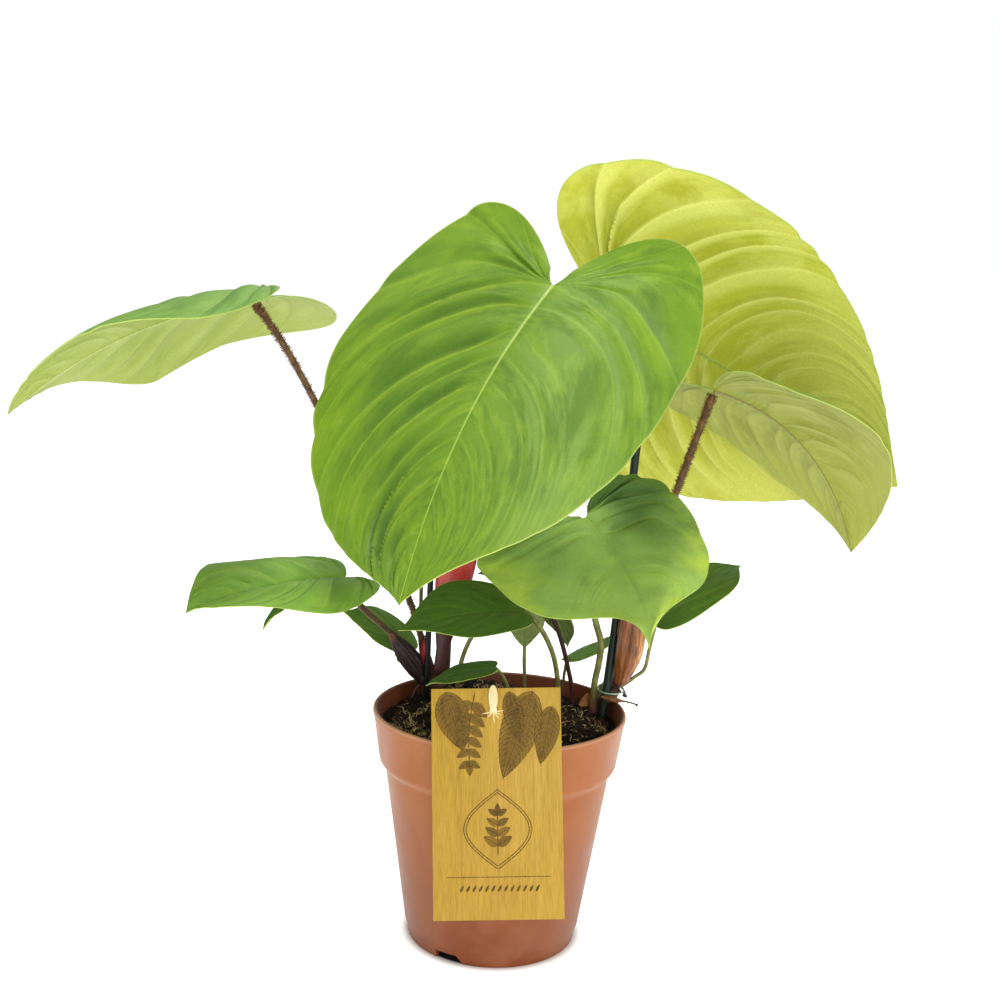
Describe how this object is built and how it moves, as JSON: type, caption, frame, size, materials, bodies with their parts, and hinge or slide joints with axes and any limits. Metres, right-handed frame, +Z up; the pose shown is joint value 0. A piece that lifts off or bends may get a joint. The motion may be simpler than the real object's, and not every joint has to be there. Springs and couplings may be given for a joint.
{
  "type": "potted philodendron",
  "caption": "Potted aroid house plant: heart-shaped quilted leaves on scaly stalks, with red sheaths, support stakes and a care card, in a round tapered nursery pot.",
  "frame": {"origin": "centre of the pot's underside, on the surface it stands on", "axes": "+Z up; -Y is the front, where the care card hangs; +X is the viewer's right"},
  "size_m": [0.4112, 0.2691, 0.3707],
  "materials": {
    "pot_plastic": "smooth terracotta-coloured plastic, satin",
    "soil": "loose damp peat with pale fibres, bark, moss and white grains",
    "card": "printed gold board with a wood grain, satin",
    "holder_plastic": "cream plastic, satin",
    "stem": "dark brown, rough and fibrous",
    "stake_coating": "dark green plastic coating, satin",
    "tie_wire": "thin wire in a pale green coating",
    "red_sheath": "red, waxy and ribbed, with paler edges",
    "brown_sheath": "orange-brown to dried brown, fibrous",
    "green_stalk": "olive to yellow-green, smooth and slightly waxy",
    "brown_stalk": "brown, covered with short scales",
    "dark_stalk": "very dark green to maroon, smooth",
    "mature_blade": "quilted mid green with pale veins, satin",
    "pale_blade": "underside in yellow-green with lighter veins, matte",
    "young_blade": "smooth dark green with a pale midrib, satin"
  },
  "bodies": {
    "root": {"pot": "pot_plastic", "soil": "soil", "care_card": "card", "card_holder": "holder_plastic", "stem_left": "stem", "stem_right": "stem", "aerial_root": "stem", "stake_left": "stake_coating", "stake_right": "stake_coating", "stake_tie": "tie_wire", "sheath_red": "red_sheath", "sheath_orange": "brown_sheath", "sheath_small": "brown_sheath", "sheath_dry": "brown_sheath", "young_spear": "green_stalk", "leaf_front_blade": "mature_blade", "leaf_front_stalk": "dark_stalk", "leaf_back_right_blade": "pale_blade", "leaf_back_right_stalk": "green_stalk", "leaf_right_blade": "pale_blade", "leaf_right_stalk": "brown_stalk", "leaf_left_blade": "pale_blade", "leaf_left_stalk": "brown_stalk", "leaf_mid_right_blade": "mature_blade", "leaf_mid_right_stalk": "green_stalk", "leaf_low_left_blade": "mature_blade", "leaf_low_left_stalk": "brown_stalk", "leaf_centre_blade": "young_blade", "leaf_centre_stalk": "green_stalk", "leaf_by_card_blade": "young_blade", "leaf_by_card_stalk": "green_stalk", "leaf_low_right_blade": "young_blade", "leaf_low_right_stalk": "green_stalk", "leaf_beside_stake_blade": "young_blade", "leaf_beside_stake_stalk": "green_stalk", "leaf_grey_blade": "pale_blade", "leaf_grey_stalk": "green_stalk", "leaf_dark_blade": "young_blade", "leaf_dark_stalk": "dark_stalk", "leaf_folded_blade": "pale_blade", "leaf_folded_stalk": "green_stalk", "leaf_under_left_blade": "young_blade", "leaf_under_left_stalk": "green_stalk", "leaf_tiny_blade": "pale_blade", "leaf_tiny_stalk": "green_stalk", "leaf_hidden_blade": "young_blade", "leaf_hidden_stalk": "green_stalk"}
  },
  "joints": []
}
